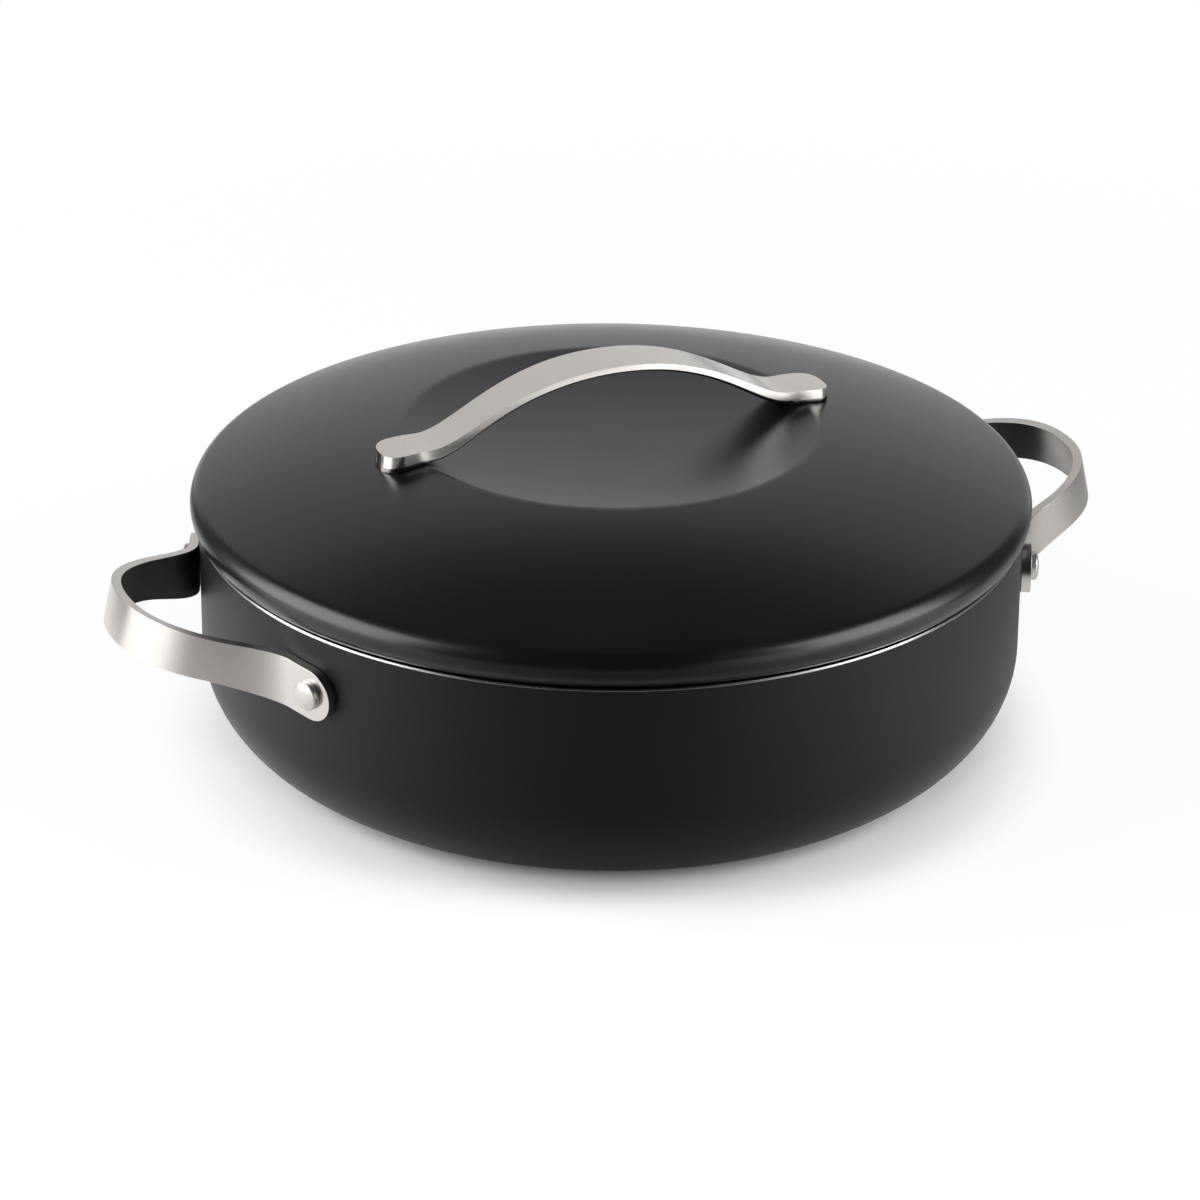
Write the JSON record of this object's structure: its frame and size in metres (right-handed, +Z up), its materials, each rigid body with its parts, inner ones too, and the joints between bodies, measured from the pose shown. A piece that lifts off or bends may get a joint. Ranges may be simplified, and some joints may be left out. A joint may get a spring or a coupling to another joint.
{
  "type": "saute pan",
  "caption": "Wide covered saute pan: a straight-sided shell with a rounded lower corner, riveted strap side handles, and a dished domed lid with a rolled edge and a bow handle.",
  "frame": {"origin": "middle of the flat base, on the surface the pan stands on", "axes": "+X through the right side handle, +Y to the back, +Z up"},
  "size_m": [0.3834, 0.3058, 0.1469],
  "materials": {
    "pan_shell": "hard anodised, satin, near black",
    "lid_shell": "hard anodised, satin to half gloss, near black",
    "handle_steel": "fine brushed faces with polished edges",
    "fastener_steel": "smooth, half bright"
  },
  "bodies": {
    "pan": {"pan_body": "pan_shell", "right_side_handle": "handle_steel", "left_side_handle": "handle_steel", "right_front_rivet": "fastener_steel", "right_back_rivet": "fastener_steel", "left_front_rivet": "fastener_steel", "left_back_rivet": "fastener_steel"},
    "covering_lid": {"lid": "lid_shell", "lid_handle": "handle_steel", "lid_screw_left": "fastener_steel", "lid_screw_right": "fastener_steel", "lid_washer_left": "fastener_steel", "lid_washer_right": "fastener_steel"}
  },
  "joints": [
    {"name": "lid_lift", "type": "slide", "parent": "pan", "child": "covering_lid", "axis": [0, 0, 1], "range_m": [0, 0.12]}
  ]
}
